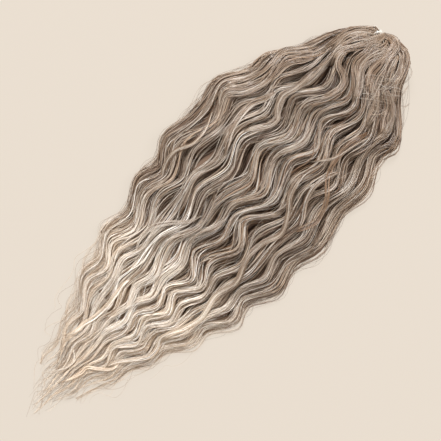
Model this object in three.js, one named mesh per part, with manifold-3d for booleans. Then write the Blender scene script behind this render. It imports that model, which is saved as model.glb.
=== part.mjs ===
// A bundle of wavy braiding hair: locks folded over at their middle, tied with thread through the fold,
// and lying flat. Millimetres, +Z up. +X runs from the loose tips to the fold, and +Y to the left edge.

import * as THREE from "three";
import { mergeVertices } from "three/addons/utils/BufferGeometryUtils.js";
import Module from "manifold-3d";

// Driving sizes of the bundle
const HEAD_FROM_TIPS = 470; // from the tip datum to where the locks start to curl in towards the tie
const FOLD_FROM_TIPS = 545; // from the tip datum to the turn, along a lock that runs straight to the tie
const WAVE_LIFT = 0.07; // rise and fall of a lock's crown along a wave, as a share of its height
const LIFT_DRIFT = 9; // how the rise and fall shifts across the bundle, in radians
const EDGE_HEIGHT = 0.22; // height of the bundle's edge, as a share of its middle
const EDGE_HEIGHT_AT_TIE = 0.6; // the same where the edge has curled in to the tie
const UNDER_SHARE = 0.4; // share of the height that the under legs take
const SHOULDER = 0.55; // height of a top leg's sides, as a share of its crown
const TAPER = 75; // length over which a lock thins towards its tip
const TIP_SIZE = 0.4; // size of a lock's blunt end, as a share of its full section
const SIDE_GAP = 0.3; // half of the gap between neighbouring locks
const LEG_GAP = 0.4; // half of the gap between a lock's two legs

// Where the bundle changes, from the tip datum
const WAVES_GROW = { from: -40, to: 80 };
const WAVES_DIE = { from: 515, to: FOLD_FROM_TIPS };
const WAVES_TURN = { from: HEAD_FROM_TIPS, to: 495 }; // from across the bundle to across the curl
const SWELL_DIES = { from: 400, to: HEAD_FROM_TIPS };
const EDGE_RISES = { from: 480, to: FOLD_FROM_TIPS };
const EYE_OPENS = { from: 512, to: FOLD_FROM_TIPS };
const UNDER_LEGS_RISE = { from: 0, to: 65 };

// Driving sizes of the tie, and of the curl of the locks towards it
const TIE = { x: 552, y: 15 }; // the tie's place, from the tip datum and the bundle's centre line
const TURN_CIRCLE = 7; // radius of the circle round the tie on which the locks turn under
const TURN_DEPTH = 0.25; // how far a turn reaches in towards the tie, as a share of its height
const RIGHT_ARRIVAL = -55; // from where the right edge comes to the tie, in degrees from +X
const ARRIVAL_SWEEP = 245; // from there back round to where the left edge comes to it
const CURL_START = { left: 23, middle: 26, right: 10 }; // how stiffly the locks run on past the head's start
const CURL_END = { left: 16, right: 54 }; // how stiffly they come in to the tie
const THREAD = 1.2; // thread diameter
const EYE = 1.4; // half of the eye that the turns leave for the thread
const THREAD_BEHIND = 1.2; // how far behind the turns the thread runs
const KNOT = 2.4; // knot diameter

// Middle of the finished bundle's box, from the tip datum and the bundle's centre line
const BOX_MIDDLE = { x: 281, y: 2.6 };

// Steps of the lofts
const TOP_STEPS = 5; // sections in each wave of a top leg
const UNDER_STEPS = 4; // sections in each wave of an under leg
const HEAD_STEPS = 10; // sections from the head's start to the turn
const TURN_STEPS = 5; // steps round the turn
const SHORTEST_STEP = 5; // no two sections stand nearer than this
const THREAD_SIDES = 8; // sides of the round thread

// Half-widths and height of the bundle, without its waves
const BUNDLE = [
  { fromTips: 0, left: 14, right: 16, height: 6 },
  { fromTips: 40, left: 30, right: 32, height: 10 },
  { fromTips: 80, left: 41, right: 46, height: 14 },
  { fromTips: 120, left: 58, right: 60, height: 17 },
  { fromTips: 160, left: 74, right: 76, height: 21 },
  { fromTips: 200, left: 82, right: 88, height: 25 },
  { fromTips: 240, left: 91, right: 96, height: 28 },
  { fromTips: 280, left: 101, right: 102, height: 32 },
  { fromTips: 320, left: 107, right: 102, height: 35 },
  { fromTips: 360, left: 109, right: 100, height: 37 },
  { fromTips: 400, left: 104, right: 96, height: 38 },
  { fromTips: 440, left: 92, right: 88, height: 37 },
  { fromTips: 480, left: 73, right: 76, height: 35 },
  { fromTips: 510, left: 54, right: 57, height: 32 },
  { fromTips: 530, left: 44, right: 46, height: 30 },
  { fromTips: 545, left: 34, right: 36, height: 27 },
];

// Crests of the waves, from the tip datum
const CRESTS = [-42, 5, 52, 99, 145, 191, 242, 302, 378, 440, 508, 580];

// How the locks swell and narrow by turns: the share of the half-width, the length along the bundle of one
// turn, and its shift across the bundle and at the tip datum, in radians
const SWELL = [
  { share: 0.035, length: 190, across: 5, start: 0 },
  { share: 0.025, length: 120, across: 9, start: 1.3 },
];

// The locks from the left edge to the right: the strip that each takes of the bundle's half-width, the height
// of its crown against the bundle's, and where its top and under legs end. Its waves are given at stations:
// half of their sideways travel, and how far they run ahead of the crests, in radians
const STATIONS = { first: 80, step: 50 };
const LOCKS = [
  {
    to: 1.00, from: 0.86, crown: 0.92, topTip: 74, underTip: 120,
    travel: [1.6, 2.4, 3.3, 3.2, 5.6, 3.7, 5.4, 4.5, 2.2, 2.3],
    lead: [2.3, 1.7, 0.8, -0.4, -0.8, -0.6, -1, -1.4, -0.5, 1.2],
  },
  {
    to: 0.86, from: 0.68, crown: 1.04, topTip: 44, underTip: 98,
    travel: [1.3, 2.3, 3.8, 3.8, 5.5, 6.3, 7.9, 5.2, 4.6, 4.1],
    lead: [2.6, 1.8, 1.1, 0.2, -0.5, -0.7, -0.9, -1, -1.5, 0.1],
  },
  {
    to: 0.68, from: 0.55, crown: 0.90, topTip: 30, underTip: 80,
    travel: [1.3, 2.1, 2.9, 3.6, 4.5, 3.9, 3.4, 4.5, 2.5, 7],
    lead: [3.7, 2.6, 1.5, -0.2, -0.9, -1, -1, -0.4, 0.4, 0.1],
  },
  {
    to: 0.55, from: 0.40, crown: 1.08, topTip: 36, underTip: 72,
    travel: [1.8, 1.4, 2.4, 1, 1.6, 4.3, 4.4, 5.4, 3, 7.5],
    lead: [4.1, 3.3, 2.2, 2, 1, 1, 0.8, 0.7, 1, 0.8],
  },
  {
    to: 0.40, from: 0.20, crown: 0.98, topTip: 14, underTip: 64,
    travel: [2.4, 2.4, 2.4, 3, 4, 5.4, 6.6, 7.6, 7, 6.5],
    lead: [3.4, 4.3, 3.9, 2.1, 1.4, 1, 1.1, 0.6, 0.3, 0.5],
  },
  {
    to: 0.20, from: 0.06, crown: 1.10, topTip: 4, underTip: 60,
    travel: [1, 1.6, 3, 2.8, 3.9, 5.8, 5.8, 6.1, 7, 5.3],
    lead: [2.1, 3.1, 3, 1.7, 0.7, 0.6, 0.7, 0.3, -0.1, -0.1],
  },
  {
    to: 0.06, from: -0.12, crown: 0.94, topTip: 0, underTip: 66,
    travel: [0.7, 2.4, 2.3, 3.6, 4.1, 7.6, 5.5, 5.4, 8.5, 6.5],
    lead: [0.5, -0.5, -0.3, -0.3, -0.2, 0.3, 0.2, -0.1, -0.2, -0.4],
  },
  {
    to: -0.12, from: -0.24, crown: 1.07, topTip: 8, underTip: 62,
    travel: [1.3, 3.1, 4.3, 5.4, 4.9, 6.9, 6.3, 7, 5, 8],
    lead: [0.3, 0, 0.1, 0, 0.1, 0.2, 0.1, 0.1, -0.1, 0.2],
  },
  {
    to: -0.24, from: -0.42, crown: 0.95, topTip: 2, underTip: 68,
    travel: [2.6, 3.8, 4.8, 5.4, 6.3, 7.5, 5.4, 5.9, 5, 6],
    lead: [-0.6, -0.1, 0.2, 0.2, 0, 0.4, 0.3, 0.3, 0, 0.3],
  },
  {
    to: -0.42, from: -0.54, crown: 1.08, topTip: 18, underTip: 72,
    travel: [3.6, 4.3, 3.7, 3.7, 3.7, 7, 4.5, 3.7, 3.4, 2.8],
    lead: [-0.4, 0.1, 0.4, 0.7, 1, 0.8, 0.7, 1, 1.1, 0.7],
  },
  {
    to: -0.54, from: -0.72, crown: 0.92, topTip: 30, underTip: 86,
    travel: [2.4, 3.4, 1.6, 1.4, 1.7, 3.4, 4.1, 5.3, 4, 3.4],
    lead: [-0.3, 0.2, 0.1, 0.6, 0.9, 0.3, 1, 1.1, 0.7, 0.3],
  },
  {
    to: -0.72, from: -0.84, crown: 1.05, topTip: 40, underTip: 94,
    travel: [1.8, 3.1, 2.1, 2.9, 4, 4.4, 3.4, 3.9, 6, 6],
    lead: [0.2, 0.1, 0, -0.2, 0.1, 0.4, 0.4, 0, -0.8, 0.7],
  },
  {
    to: -0.84, from: -1.00, crown: 0.96, topTip: 62, underTip: 118,
    travel: [2, 2.8, 3.4, 5.3, 4.5, 4.5, 3.3, 3.8, 8, 5.5],
    lead: [0.5, 0.9, 0.7, 0.2, 0, 0.1, -0.4, -1, -0.7, 0.5],
  },
];

// The thread's visible end, forward of the tie, left of it and up from the floor: out of the last eye and
// over the middle of the turns
const THREAD_END = [
  { forward: 4.6, left: 6.8, up: 6.5 },
  { forward: 6.2, left: 5.6, up: 7.5 },
  { forward: 6, left: 3.6, up: 12 },
  { forward: 4.4, left: 2.6, up: 16 },
  { forward: -1.5, left: 2.2, up: 19 },
];
const KNOT_ON_END = { forward: 4.4, left: 2.6, up: 16 };
const SHORT_END = { forward: 8.8, left: 2, up: 18.5 };

// Colours and finishes
const HAIR_SHADES = ["#9c8b7c", "#a99887", "#8f7e70"];
const HAIR_FINISH = { roughness: 0.45, metalness: 0 };
const THREAD_FINISH = { color: "#ece7df", roughness: 0.8, metalness: 0 };

const { Manifold, Mesh } = await Module().then((kernel) => {
  kernel.setup();
  return kernel;
});

const { lerp, clamp } = THREE.MathUtils;
const rise = (x, span) => THREE.MathUtils.smoothstep(x, span.from, span.to);

// One column of BUNDLE at a distance from the tips, on a smooth curve through the rows.
function bundleAt(column, fromTips) {
  const last = BUNDLE.length - 1;
  const x = clamp(fromTips, 0, BUNDLE[last].fromTips);
  const i = Math.min(last - 1, BUNDLE.findLastIndex((row) => row.fromTips <= x));
  const slopeAt = (k) => {
    const before = BUNDLE[Math.max(0, k - 1)];
    const after = BUNDLE[Math.min(last, k + 1)];
    return (after[column] - before[column]) / (after.fromTips - before.fromTips);
  };
  const span = BUNDLE[i + 1].fromTips - BUNDLE[i].fromTips;
  const t = (x - BUNDLE[i].fromTips) / span;
  const straight = lerp(BUNDLE[i][column], BUNDLE[i + 1][column], t * t * (3 - 2 * t));
  const leaving = t * (1 - t) * (1 - t) * span * slopeAt(i);
  const arriving = t * t * (1 - t) * span * slopeAt(i + 1);
  return straight + leaving - arriving;
}

// The wave's phase, a whole number of turns at each crest.
function phaseAt(fromTips) {
  const i = CRESTS.findLastIndex((crest) => crest <= fromTips);
  return 2 * Math.PI * (i + (fromTips - CRESTS[i]) / (CRESTS[i + 1] - CRESTS[i]));
}

// The direction from the tie in which the hair at v comes to it. v is -1 at the right edge and 1 at the left.
function arrivalAt(v) {
  const angle = THREE.MathUtils.degToRad(RIGHT_ARRIVAL - (ARRIVAL_SWEEP * (v + 1)) / 2);
  return new THREE.Vector2(Math.cos(angle), Math.sin(angle));
}

// The curl of the hair at v, from the head's start to its turn at the tie.
function curlAt(v) {
  const column = v > 0 ? "left" : "right";
  const start = new THREE.Vector2(HEAD_FROM_TIPS, v * bundleAt(column, HEAD_FROM_TIPS));
  const slope = v * (bundleAt(column, HEAD_FROM_TIPS + 1) - bundleAt(column, HEAD_FROM_TIPS));
  const atStart = lerp(CURL_START.middle, CURL_START[column], Math.abs(v));
  const atEnd = lerp(CURL_END.left, CURL_END.right, rise(-v, { from: 0, to: 1 }));
  const runOn = new THREE.Vector2(1, slope).multiplyScalar(atStart);
  const comeIn = arrivalAt(v).multiplyScalar(atEnd);
  const end = arrivalAt(v).multiplyScalar(TURN_CIRCLE).add(TIE);
  return new THREE.CubicBezierCurve(start, runOn.add(start), comeIn.add(end), end);
}

// Where the hair at v lies between the centre line and the bundle's edge, as the locks swell and narrow.
function laneAt(v, fromTips) {
  const turnOf = ({ length, across, start }) => (2 * Math.PI * fromTips) / length + across * v + start;
  const swell = SWELL.reduce((total, one) => total + one.share * Math.sin(turnOf(one)), 0);
  return v + (1 - v * v) * (1 - rise(fromTips, SWELL_DIES)) * swell;
}

// A lock's travel or lead at a distance from the tips, blended between the locks for hair at v.
function waveAt(column, v, fromTips) {
  const last = LOCKS[0][column].length - 1;
  const station = clamp((fromTips - STATIONS.first) / STATIONS.step, 0, last);
  const k = Math.min(Math.floor(station), last - 1);
  const along = (lock) => lerp(lock[column][k], lock[column][k + 1], station - k);
  const middleOf = (lock) => (lock.from + lock.to) / 2;
  const i = LOCKS.findIndex((lock) => middleOf(lock) <= v);
  if (i <= 0) {
    return along(LOCKS.at(i));
  }
  const [left, right] = [LOCKS[i - 1], LOCKS[i]];
  return lerp(along(right), along(left), (v - middleOf(right)) / (middleOf(left) - middleOf(right)));
}

// Plan position of the hair at v.
function planAt(v, fromTips) {
  const share = clamp((fromTips - HEAD_FROM_TIPS) / (FOLD_FROM_TIPS - HEAD_FROM_TIPS), 0, 1);
  const lane = laneAt(v, fromTips);
  const straight = new THREE.Vector2(fromTips, lane * bundleAt(lane > 0 ? "left" : "right", fromTips));
  const place = share > 0 ? curlAt(v).getPoint(share) : straight;
  const along = curlAt(v).getTangent(share);
  const aside = new THREE.Vector2(0, 1).lerp({ x: -along.y, y: along.x }, rise(fromTips, WAVES_TURN));
  const strength = rise(fromTips, WAVES_GROW) * (1 - rise(fromTips, WAVES_DIE));
  const swing = strength * waveAt("travel", v, fromTips);
  return place.addScaledVector(aside, swing * Math.cos(phaseAt(fromTips) + waveAt("lead", v, fromTips)));
}

// Height of the bundle's top at v, before the locks' own crowns.
function topAt(v, fromTips) {
  const dome = Math.pow(1 - Math.pow(Math.abs(v), 2.2), 0.7);
  const edge = lerp(EDGE_HEIGHT, EDGE_HEIGHT_AT_TIE, rise(fromTips, EDGE_RISES));
  return lerp(edge, 1, dome) * bundleAt("height", fromTips);
}

// Height at which the top legs part from the under legs.
const middleAt = (v, fromTips) => UNDER_SHARE * rise(fromTips, UNDER_LEGS_RISE) * topAt(v, fromTips);

// Half of the opening between a lock's legs, which widens to the thread's eye at the fold.
const openingAt = (fromTips) => lerp(LEG_GAP, EYE, rise(fromTips, EYE_OPENS));

// Height of each kind of corner in a leg's section. The under legs lie flat on what the bundle rests on.
const TOP_LEG = {
  inner: (v, fromTips) => middleAt(v, fromTips) + openingAt(fromTips),
  crown: (v, fromTips, lock) => {
    const lift = WAVE_LIFT * Math.sin(phaseAt(fromTips) + LIFT_DRIFT * v);
    return lerp(TOP_LEG.inner(v, fromTips), topAt(v, fromTips), lock.crown + lift);
  },
  side: (v, fromTips, lock) => lerp(TOP_LEG.inner(v, fromTips), TOP_LEG.crown(v, fromTips, lock), SHOULDER),
};
const UNDER_LEG = {
  inner: (v, fromTips) => middleAt(v, fromTips) - openingAt(fromTips),
  crown: () => 0,
  side: () => 0,
};

// The corners of a lock's section: two on the inner side, then the left side, the crown and the right side.
function cornersOf(lock) {
  const middle = (lock.from + lock.to) / 2;
  return [
    { v: lock.from, kind: "inner" },
    { v: lock.to, kind: "inner" },
    { v: lock.to, kind: "side" },
    { v: middle, kind: "crown" },
    { v: lock.from, kind: "side" },
  ];
}

// One section of a leg, set in from its neighbours and thinned where it is near the leg's tip.
function legSection(lock, leg, tip, fromTips) {
  const right = planAt(lock.from, fromTips);
  const left = planAt(lock.to, fromTips);
  const middle = right.clone().lerp(left, 0.5);
  const setIn = 1 - (2 * SIDE_GAP) / right.distanceTo(left);
  const section = cornersOf(lock).map(({ v, kind }) => {
    const { x, y } = planAt(v, fromTips).sub(middle).multiplyScalar(setIn).add(middle);
    return new THREE.Vector3(x, y, leg[kind](v, fromTips, lock));
  });
  const seat = section[0].clone().lerp(section[1], 0.5);
  seat.z = leg === UNDER_LEG ? 0 : seat.z;
  const size = lerp(TIP_SIZE, 1, rise(fromTips, { from: tip, to: tip + TAPER }));
  return section.map((corner) => corner.sub(seat).multiplyScalar(size).add(seat));
}

// The sections of a leg from its tip to the turn: a number in each wave, and then a number in the head.
function legSections(lock, leg, tip, steps) {
  const stations = [tip];
  for (let i = 0; i + 1 < CRESTS.length; i += 1) {
    for (let k = 0; k < steps; k += 1) {
      const fromTips = lerp(CRESTS[i], CRESTS[i + 1], k / steps);
      if (fromTips > tip + SHORTEST_STEP && fromTips < HEAD_FROM_TIPS - SHORTEST_STEP) {
        stations.push(fromTips);
      }
    }
  }
  for (let k = 0; k <= HEAD_STEPS; k += 1) {
    stations.push(lerp(HEAD_FROM_TIPS, FOLD_FROM_TIPS, k / HEAD_STEPS));
  }
  return stations.map((fromTips) => legSection(lock, leg, tip, fromTips));
}

// The sections round the turn, between the last of the top leg and the first of the under leg.
function turnSections(lock, top, under) {
  const corners = cornersOf(lock);
  const sections = [];
  for (let k = 1; k < TURN_STEPS; k += 1) {
    const angle = (Math.PI * k) / TURN_STEPS;
    sections.push(
      corners.map(({ v }, j) => {
        const axis = middleAt(v, FOLD_FROM_TIPS);
        const radius = lerp(top[j].z - axis, axis - under[j].z, k / TURN_STEPS);
        const inward = arrivalAt(v).multiplyScalar(-TURN_DEPTH * radius * Math.sin(angle));
        return new THREE.Vector3(top[j].x + inward.x, top[j].y + inward.y, axis + radius * Math.cos(angle));
      }),
    );
  }
  return sections;
}

// A closed solid through a row of sections with the same number of corners.
function loft(sections) {
  const ring = sections[0].length;
  const index = [];
  for (let k = 0; k + 1 < sections.length; k += 1) {
    for (let j = 0; j < ring; j += 1) {
      const a = k * ring + j;
      const b = k * ring + ((j + 1) % ring);
      index.push(a, b, a + ring, b, b + ring, a + ring);
    }
  }
  const end = (sections.length - 1) * ring;
  for (let j = 1; j + 1 < ring; j += 1) {
    index.push(0, j + 1, j);
    index.push(end, end + j, end + j + 1);
  }
  const geometry = new THREE.BufferGeometry();
  const positions = sections.flat().flatMap((corner) => corner.toArray());
  geometry.setAttribute("position", new THREE.Float32BufferAttribute(positions, 3));
  geometry.setIndex(index);
  return geometry;
}

function lockGeometry(lock) {
  const top = legSections(lock, TOP_LEG, lock.topTip, TOP_STEPS);
  const under = legSections(lock, UNDER_LEG, lock.underTip, UNDER_STEPS).reverse();
  return loft([...top, ...turnSections(lock, top.at(-1), under[0]), ...under]);
}

// A round thread along a path.
function threadAlong(points, steps) {
  const outline = new THREE.Shape();
  outline.absarc(0, 0, THREAD / 2, 0, 2 * Math.PI);
  const path = new THREE.CatmullRomCurve3(points, false, "centripetal");
  return new THREE.ExtrudeGeometry(outline, { steps, curveSegments: THREAD_SIDES / 2, extrudePath: path });
}

// Geometry to solid and back, for joining the knot to its thread.
function solidOf(geometry) {
  const bare = new THREE.BufferGeometry();
  bare.setAttribute("position", geometry.getAttribute("position"));
  bare.setIndex(geometry.getIndex());
  const welded = mergeVertices(bare, 1e-4);
  return new Manifold(
    new Mesh({
      numProp: 3,
      vertProperties: new Float32Array(welded.getAttribute("position").array),
      triVerts: new Uint32Array(welded.getIndex().array),
    }),
  );
}

function geometryOf(solid) {
  const mesh = solid.getMesh();
  const geometry = new THREE.BufferGeometry();
  geometry.setAttribute("position", new THREE.BufferAttribute(mesh.vertProperties, 3));
  geometry.setIndex(new THREE.BufferAttribute(mesh.triVerts, 1));
  return geometry;
}

// The thread in the eyes of the turns, round the tie from the right edge to the left.
function tieThreadGeometry() {
  const edges = [-1, ...LOCKS.slice(0, -1).map((lock) => lock.from).reverse(), 1];
  const path = edges.map((v) => {
    const { x, y } = arrivalAt(v).multiplyScalar(TURN_CIRCLE + THREAD_BEHIND).add(TIE);
    return new THREE.Vector3(x, y, middleAt(v, FOLD_FROM_TIPS));
  });
  return threadAlong(path, 2 * edges.length);
}

function tieKnotGeometry() {
  const place = ({ forward, left, up }) => new THREE.Vector3(TIE.x + forward, TIE.y + left, up);
  const longEnd = threadAlong(THREAD_END.map(place), 14);
  const shortEnd = threadAlong([place(KNOT_ON_END), place(SHORT_END)], 2);
  const knot = new THREE.IcosahedronGeometry(KNOT / 2, 1);
  knot.translate(...place(KNOT_ON_END).toArray());
  return geometryOf(Manifold.union([longEnd, shortEnd, knot].map(solidOf)));
}

const bundle = new THREE.Group();
bundle.name = "bundle";
bundle.position.set(-BOX_MIDDLE.x, -BOX_MIDDLE.y, 0);

function addPiece(name, geometry, finish) {
  geometry.computeVertexNormals();
  const piece = new THREE.Mesh(geometry, new THREE.MeshStandardMaterial(finish));
  piece.name = name;
  bundle.add(piece);
}

LOCKS.forEach((lock, i) => {
  const color = HAIR_SHADES[i % HAIR_SHADES.length];
  addPiece(`lock_${String(i + 1).padStart(2, "0")}`, lockGeometry(lock), { color, ...HAIR_FINISH });
});
addPiece("tie_thread", tieThreadGeometry(), THREAD_FINISH);
addPiece("tie_knot", tieKnotGeometry(), THREAD_FINISH);

const part = new THREE.Group();
part.name = "braiding_hair_bundle";
part.add(bundle);

export default part;
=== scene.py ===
# A bundle of wavy braiding hair, folded at its middle and tied with thread, lying flat on a pale floor.
# The frame is the CAD's: metres, +X from the loose tips to the fold, +Y to the left edge, +Z up.

import bpy
import numpy as np
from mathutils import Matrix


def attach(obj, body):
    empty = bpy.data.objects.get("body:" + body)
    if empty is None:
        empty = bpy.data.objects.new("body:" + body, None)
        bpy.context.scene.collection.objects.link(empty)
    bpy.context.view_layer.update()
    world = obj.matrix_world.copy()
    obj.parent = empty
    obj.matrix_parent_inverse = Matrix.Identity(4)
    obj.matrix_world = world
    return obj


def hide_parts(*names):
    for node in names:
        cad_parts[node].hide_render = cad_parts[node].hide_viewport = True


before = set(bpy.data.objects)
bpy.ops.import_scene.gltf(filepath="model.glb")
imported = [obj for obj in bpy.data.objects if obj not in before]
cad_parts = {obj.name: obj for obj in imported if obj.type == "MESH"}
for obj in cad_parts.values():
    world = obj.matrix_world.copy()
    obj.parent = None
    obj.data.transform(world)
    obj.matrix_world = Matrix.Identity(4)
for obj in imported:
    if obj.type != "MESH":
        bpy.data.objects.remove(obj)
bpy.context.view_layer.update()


# The locks
# Thirteen locks of crimped synthetic fibre, each folded over at its middle. The top legs show, the bundle
# lies on the under legs, and at the head they all curl in to the tie. The fibre is taupe, dyed out to blond
# at its ends. Sizes are in millimetres, and x is the distance from the tip datum.

MM = 0.001
BOX_MIDDLE = np.array([281.0, 2.6, 0.0])  # the CAD frame's origin, from the tip datum and the centre line
HEAD = 470.0  # x where the locks start to curl in
FOLD = 545.0  # x of the turn, along a lock that runs straight to the tie
WAVE_LIFT = 0.07  # rise and fall of a crown along a wave, as a share
LIFT_DRIFT = 9.0  # its shift across the bundle, in radians
DOME = (2.2, 0.7)  # powers that round the bundle's top
EDGE_HEIGHT = 0.22  # of the bundle's edge, as a share of its middle
EDGE_HEIGHT_AT_TIE = 0.6
EDGE_RISE = 480.0  # x where the edge starts to rise to that
UNDER_SHARE = 0.4  # share of the height that the under legs take
UNDER_FULL = 65.0  # x where they take all of it
SHOULDER = 0.55  # height of a lock's sides, as a share of its crown
CROWN_ROUND = 0.8  # power that rounds the crown
LEG_GAP = 0.4  # half of the gap between a lock's legs
EYE = 1.4  # half of the eye for the thread
EYE_START = 512.0  # x where the gap starts to open to the eye
SWELL_END = 400.0  # x where the swelling starts to die out
WAVE_START = (-40.0, 80.0)  # x along which the waves grow
WAVE_TURN = 495.0  # x where they stand square to the curl
WAVE_END = 515.0  # x where they start to die out
TIE = np.array([552.0, 15.0])
TURN_CIRCLE = 7.0  # radius round the tie on which the locks turn under
TURN_DEPTH = 0.5  # reach of a turn towards the tie, as a share of its height
TURN_STEPS = 5
RIGHT_ARRIVAL = -55.0  # from where the right edge comes to the tie, in degrees from +X
ARRIVAL_SWEEP = 245.0  # from there back round to the left edge's
CURL_START = (10.0, 26.0, 23.0)  # how stiffly the right edge, the middle and the left run on
CURL_END = (16.0, 54.0)  # how stiffly the left and the right come in

# Half-widths and height of the bundle, without its waves
BUNDLE = np.array([
    (0, 14, 16, 6), (40, 30, 32, 10), (80, 41, 46, 14), (120, 58, 60, 17),
    (160, 74, 76, 21), (200, 82, 88, 25), (240, 91, 96, 28), (280, 101, 102, 32),
    (320, 107, 102, 35), (360, 109, 100, 37), (400, 104, 96, 38), (440, 92, 88, 37),
    (480, 73, 76, 35), (510, 54, 57, 32), (530, 44, 46, 30), (545, 34, 36, 27),
], dtype=[(column, float) for column in ("from_tips", "left", "right", "height")])

# Crests of the waves, from the tip datum
CRESTS = np.array([-42.0, 5, 52, 99, 145, 191, 242, 302, 378, 440, 508, 580])
TURNS = 2 * np.pi * np.arange(len(CRESTS))

# How the locks swell and narrow by turns: share of the half-width, length of a turn, and its shift across the
# bundle and at the datum
SWELL = ((0.035, 190.0, 5.0, 0.0), (0.025, 120.0, 9.0, 1.3))

# The strip of the half-width that each lock takes, its crown's height, and where its two legs end
LOCKS = np.array([
    (1.00, 0.86, 0.92, 74, 120), (0.86, 0.68, 1.04, 44, 98), (0.68, 0.55, 0.90, 30, 80),
    (0.55, 0.40, 1.08, 36, 72), (0.40, 0.20, 0.98, 14, 64), (0.20, 0.06, 1.10, 4, 60),
    (0.06, -0.12, 0.94, 0, 66), (-0.12, -0.24, 1.07, 8, 62), (-0.24, -0.42, 0.95, 2, 68),
    (-0.42, -0.54, 1.08, 18, 72), (-0.54, -0.72, 0.92, 30, 86), (-0.72, -0.84, 1.05, 40, 94),
    (-0.84, -1.00, 0.96, 62, 118),
], dtype=[(column, float) for column in ("left", "right", "crown", "top_tip", "under_tip")])
LOCK_MIDDLES = (LOCKS["left"] + LOCKS["right"]) / 2

# Each lock's waves at stations from the tip datum: half of their sideways travel, and how far they run ahead
# of the crests, in radians
STATIONS = np.arange(80.0, 531.0, 50.0)
TRAVEL = np.array([
    (4, 5, 5.5, 4, 6.4, 3.5, 5.9, 5, 2.2, 2.3),
    (3.5, 4.5, 6, 4.5, 6.1, 7, 8.6, 5.3, 4.6, 4.1),
    (3, 4, 4.5, 4.5, 6.7, 4, 3.1, 4.7, 2.5, 7),
    (2.2, 1.4, 3.1, 0.9, 1.5, 4.6, 4.4, 7.9, 3, 7.5),
    (2.5, 2.6, 2.8, 3.4, 4.5, 6.4, 7.3, 8.6, 7, 6.5),
    (1.1, 1.7, 4.3, 3.2, 5.8, 7.9, 5.6, 6.2, 6.9, 6.2),
    (0.8, 3.6, 2.9, 3.5, 4.5, 8.3, 5.1, 5.2, 8.5, 6.5),
    (1.3, 3.6, 5.1, 5.8, 5.3, 6.2, 6.2, 8, 5, 8),
    (2.4, 4, 5.4, 6.3, 8.1, 7.9, 5.6, 7, 5, 6),
    (3.8, 5.1, 3.8, 4, 3.4, 8.6, 4.6, 3.5, 3.9, 2.9),
    (3.1, 4.4, 1.7, 1.4, 1.7, 3.5, 3.8, 6.9, 4.8, 3.4),
    (2.1, 4.3, 2.3, 3, 4.5, 4.8, 3.2, 4.2, 6, 6),
    (2.1, 3.2, 4.2, 6.3, 4.6, 4.7, 3.3, 3.9, 8, 5.5),
])
LEAD = np.array([
    (2.6, 1.7, 0.8, -0.5, -0.9, -0.5, -1.2, -1.6, -0.5, 1.2),
    (2.7, 1.9, 1.1, 0.3, -0.5, -0.7, -1.1, -1.2, -1.5, 0.1),
    (4.1, 2.7, 1.4, -0.3, -1.4, -1.4, -1.2, -0.3, 0.4, 0.1),
    (4.3, 3.3, 2.1, 2, 1, 1.3, 1.1, 1.2, 1, 0.8),
    (3.4, 4.8, 4.1, 2.1, 1.6, 1, 1.2, 0.5, 0.3, 0.5),
    (2, 3.1, 3.2, 1.7, 1, 0.4, 0.8, 0.3, 0.1, 0),
    (0.5, -1, -0.5, -0.5, -0.2, 0.2, 0.1, -0.2, -0.2, -0.4),
    (0.3, 0.1, 0.2, 0.1, 0, 0.2, 0.1, 0.1, -0.1, 0.2),
    (-0.7, -0.1, 0.3, 0.4, -0.1, 0.5, 0.4, 0.3, 0, 0.3),
    (-0.4, 0, 0.3, 0.6, 1, 0.7, 0.6, 1, 1.3, 0.6),
    (-0.4, 0.1, 0, 0.6, 0.9, 0.2, 1.3, 1.4, 0.9, 0.3),
    (0.1, -0.1, -0.2, -0.4, 0.2, 0.4, 0.5, 0, -0.8, 0.7),
    (0.5, 1, 0.8, 0.2, -0.1, 0.1, -0.4, -1.1, -0.7, 0.5),
])


def rise(x, start, end):
    """From 0 to 1 as x goes from start to end, easing at both."""
    t = np.clip((x - start) / (end - start), 0, 1)
    return t * t * (3 - 2 * t)


def smooth_through(x, knots, values):
    """Values at x on a smooth curve through the knots."""
    index = np.arange(len(knots))
    before, after = np.maximum(index - 1, 0), np.minimum(index + 1, len(knots) - 1)
    slopes = (values[after] - values[before]) / (knots[after] - knots[before])
    x = np.clip(x, knots[0], knots[-1])
    i = np.clip(np.searchsorted(knots, x, side="right") - 1, 0, len(knots) - 2)
    span = knots[i + 1] - knots[i]
    t = (x - knots[i]) / span
    ease = t * t * (3 - 2 * t)
    bend = t * (1 - t) * span * ((1 - t) * slopes[i] - t * slopes[i + 1])
    return values[i] + ease * (values[i + 1] - values[i]) + bend


def bundle_at(column, x):
    return smooth_through(x, BUNDLE["from_tips"], BUNDLE[column])


def half_at(lane, x):
    return np.where(lane > 0, bundle_at("left", x), bundle_at("right", x))


def phase_at(x):
    return np.interp(x, CRESTS, TURNS)


def height_at(v, x):
    """Height of the bundle's top at v, which is 1 at the left edge and -1 at the right."""
    dome = np.clip(1 - np.abs(v) ** DOME[0], 0, 1) ** DOME[1]
    edge = EDGE_HEIGHT + (EDGE_HEIGHT_AT_TIE - EDGE_HEIGHT) * rise(x, EDGE_RISE, FOLD)
    return (edge + (1 - edge) * dome) * bundle_at("height", x)


def middle_at(v, x):
    """Height at which the top legs part from the under legs."""
    return UNDER_SHARE * rise(x, 0, UNDER_FULL) * height_at(v, x)


def arrival_at(v):
    """The direction from the tie in which the hair at v comes to it."""
    angle = np.radians(RIGHT_ARRIVAL - ARRIVAL_SWEEP * (v + 1) / 2)
    return np.stack([np.cos(angle), np.sin(angle)], axis=-1)


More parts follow.
